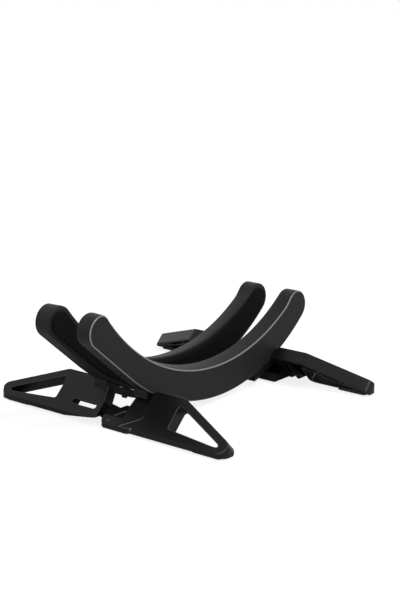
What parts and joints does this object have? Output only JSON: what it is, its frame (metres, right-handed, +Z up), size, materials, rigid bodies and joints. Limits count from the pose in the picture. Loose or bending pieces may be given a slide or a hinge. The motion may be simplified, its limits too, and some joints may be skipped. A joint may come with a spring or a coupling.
{
  "type": "floor bike rack",
  "caption": "Low floor stand whose two crescent cheeks grip a bicycle wheel from both sides, carried on splayed triangular wings that are hinged to each other under the tyre.",
  "frame": {"origin": "centre of the overall box at floor level", "axes": "+X along the wheel from the tall near end to the low far end, +Y to the left half, +Z up"},
  "size_m": [0.5337, 0.444, 0.1945],
  "materials": {
    "cheek_shell": "satin black moulded plastic with a fine grain",
    "cheek_cover": "smooth satin black moulded plastic",
    "wing_plastic": "black glass-filled plastic, slightly glossier than the cheeks",
    "grip_rubber": "matt black rubber",
    "foot_rubber": "matt dark grey rubber",
    "zinc_steel": "zinc-plated steel",
    "black_steel": "blackened steel"
  },
  "bodies": {
    "right_half": {"right_cheek": "cheek_shell", "right_cheek_cover": "cheek_cover", "right_grip_pad": "grip_rubber", "right_cover_screw_1": "black_steel", "right_cover_screw_2": "black_steel", "right_cover_screw_3": "black_steel", "right_cover_screw_4": "black_steel", "right_near_wing": "wing_plastic", "right_near_foot": "foot_rubber", "right_near_wing_screw_1": "black_steel", "right_near_wing_screw_2": "black_steel", "right_far_wing": "wing_plastic", "right_far_foot": "foot_rubber", "right_far_wing_screw_1": "black_steel", "right_far_wing_screw_2": "black_steel", "near_hinge_pin": "zinc_steel", "near_pin_clip": "black_steel", "near_hub_foot": "foot_rubber", "near_hub_screw": "zinc_steel", "far_hinge_pin": "zinc_steel", "far_pin_clip": "black_steel", "far_hub_foot": "foot_rubber", "far_hub_screw": "zinc_steel"},
    "left_half": {"left_cheek": "cheek_shell", "left_cheek_cover": "cheek_cover", "left_grip_pad": "grip_rubber", "left_cover_screw_1": "black_steel", "left_cover_screw_2": "black_steel", "left_cover_screw_3": "black_steel", "left_cover_screw_4": "black_steel", "left_near_wing": "wing_plastic", "left_near_foot": "foot_rubber", "left_near_wing_screw_1": "black_steel", "left_near_wing_screw_2": "black_steel", "left_far_wing": "wing_plastic", "left_far_foot": "foot_rubber", "left_far_wing_screw_1": "black_steel", "left_far_wing_screw_2": "black_steel"}
  },
  "joints": [
    {"name": "fold", "type": "hinge", "parent": "right_half", "child": "left_half", "pos_m": [0, 0, 0.009], "axis": [1, 0, 0], "range_deg": [-8, 12]}
  ]
}
